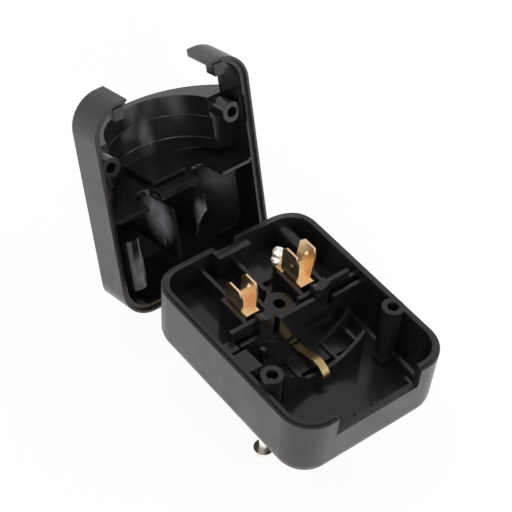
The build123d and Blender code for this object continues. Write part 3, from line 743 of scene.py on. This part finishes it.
def thread_group(material):
    """Geometry nodes: one ridge wound round an upright axis, turn after turn."""
    group, given = start_group("thread_turns", Turns="Float", Height="Float", Foot="Vector")
    path = add_node(group, "GeometryNodeCurveSpiral",
                    {"Resolution": TURN_STEPS, "Start Radius": CORE_RADIUS,
                     "End Radius": CORE_RADIUS})
    kite = add_node(group, "GeometryNodeCurvePrimitiveCircle",
                    {"Resolution": KITE_POINTS, "Radius": THREAD_RADIUS - CORE_RADIUS})
    sweep = add_node(group, "GeometryNodeCurveToMesh", {"Fill Caps": True})
    shift = add_node(group, "GeometryNodeTransform")
    join(group, given, "Turns", path, "Rotations")
    join(group, given, "Height", path, "Height")
    join(group, path, 0, sweep, "Curve")
    join(group, kite, 0, sweep, "Profile Curve")
    join(group, sweep, 0, shift, "Geometry")
    join(group, given, "Foot", shift, "Translation")
    end_group(group, shift, material)
    return group


turns = thread_group(nickel)
print("thread nodes", len(turns.nodes))

# %% [markdown]
# ## The closing screws
# The measured screw is a plain bar of the thread's outer size. Here the bar
# is slimmed to the core where the thread lies, and the ridge is wound round
# it. The flat under the head touches its seat when the screw is driven in, so
# it is lowered by a hair to keep the two faces apart.

# %% Slim the bars and wind the threads
THREAD_PITCH = 0.00095
SCREW_LOW = 0.00650
SCREW_HIGH = 0.02120
SCREW_ROUNDING = 0.00008
THREAD_START = 0.00600
BAR_REACH = THREAD_RADIUS * 1.06
HEAD_TOP = -0.0056
SEAT_GAP = 0.00002


def grown(name, group, values):
    """A piece that a node tree grows from the named values, as a plain mesh."""
    piece = add_object(name, bpy.data.meshes.new(name))
    grow = piece.modifiers.new("grow", "NODES")
    grow.node_group = group
    for item in group.interface.items_tree:
        if item.in_out == "INPUT":
            grow[item.identifier] = values[item.name]
    settle(piece)
    return piece


def slim_bar(verts):
    """Lowers the flat under the head, slims the bar, and gives its axis in X and Y."""
    for vert in verts:
        if abs(vert.co.z - HEAD_TOP) < SEAT_GAP:
            vert.co.z -= SEAT_GAP
    middle_x = (min(vert.co.x for vert in verts) + max(vert.co.x for vert in verts)) / 2
    middle_y = (min(vert.co.y for vert in verts) + max(vert.co.y for vert in verts)) / 2
    slim = CORE_RADIUS / THREAD_RADIUS
    for vert in verts:
        across = math.hypot(vert.co.x - middle_x, vert.co.y - middle_y)
        if vert.co.z > THREAD_START and across < BAR_REACH:
            vert.co.x = middle_x + (vert.co.x - middle_x) * slim
            vert.co.y = middle_y + (vert.co.y - middle_y) * slim
    return middle_x, middle_y


length = SCREW_HIGH - SCREW_LOW
rounds = length / THREAD_PITCH
for node in ("closing_screw_left", "closing_screw_right"):
    core = softened(node, SCREW_ROUNDING)
    axis = slim_bar(core.data.vertices)
    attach(core, BODY_OF[node])
    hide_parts(node)
    thread = grown("thread_" + node, turns, {"Turns": rounds, "Height": length,
                                             "Foot": (*axis, SCREW_LOW)})
    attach(thread, BODY_OF[node])
    print(thread.name, len(thread.data.polygons), "faces,", round(rounds, 1), "turns")

# %% [markdown]
# ## Beads in the lid's nest
# The roof of the nest goes down in small steps, and in the picture their
# edges are light arcs inside the lid. The edge of a step this small catches
# nothing in a render, so a fine bead stands in for it. Each bead is the same
# swept arc with another radius and place, so a small node tree makes them, and
# they are then turned back to the open lid.

# %% Sweep the beads
BEAD_HALF_TURN = math.radians(73.0)
BEAD_STEPS = 72
WIRE_STEPS = 8
NEST_HEIGHT = 0.0270
# Place along Y, radius of the arch, half thickness of the bead
NEST_STEPS = ((-0.0116, 0.0180, 0.00028), (-0.0042, 0.01828, 0.00038))


def bead_group(material):
    """Geometry nodes: a fine bead swept along an arch that stands across Y."""
    group, given = start_group("nest_bead", Radius="Float", Thickness="Float", Place="Vector")
    path = add_node(group, "GeometryNodeCurveArc",
                    {"Resolution": BEAD_STEPS, "Start Angle": math.pi / 2 - BEAD_HALF_TURN,
                     "Sweep Angle": 2 * BEAD_HALF_TURN})
    wire = add_node(group, "GeometryNodeCurvePrimitiveCircle", {"Resolution": WIRE_STEPS})
    sweep = add_node(group, "GeometryNodeCurveToMesh", {"Fill Caps": True})
    stand = add_node(group, "GeometryNodeTransform", {"Rotation": (math.pi / 2, 0, 0)})
    join(group, given, "Radius", path, "Radius")
    join(group, given, "Thickness", wire, "Radius")
    join(group, path, 0, sweep, "Curve")
    join(group, wire, 0, sweep, "Profile Curve")
    join(group, sweep, 0, stand, "Geometry")
    join(group, given, "Place", stand, "Translation")
    end_group(group, stand, material)
    return group


bead = bead_group(lid_plastic)
open_lid = (Matrix.Translation(HINGE_PLACE) @ Matrix.Rotation(-OPEN_TURN, 4, "X")
            @ Matrix.Translation([-value for value in HINGE_PLACE]))
for number, (place_y, radius, thickness) in enumerate(NEST_STEPS, 1):
    piece = grown(f"nest_bead_{number}", bead, {"Radius": radius, "Thickness": thickness,
                                                "Place": (0.0, place_y, NEST_HEIGHT)})
    piece.data.transform(open_lid)
    shade_smooth(piece.data)
    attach(piece, BODY_OF["lid_housing"])
    print(piece.name, len(piece.data.polygons), "faces")
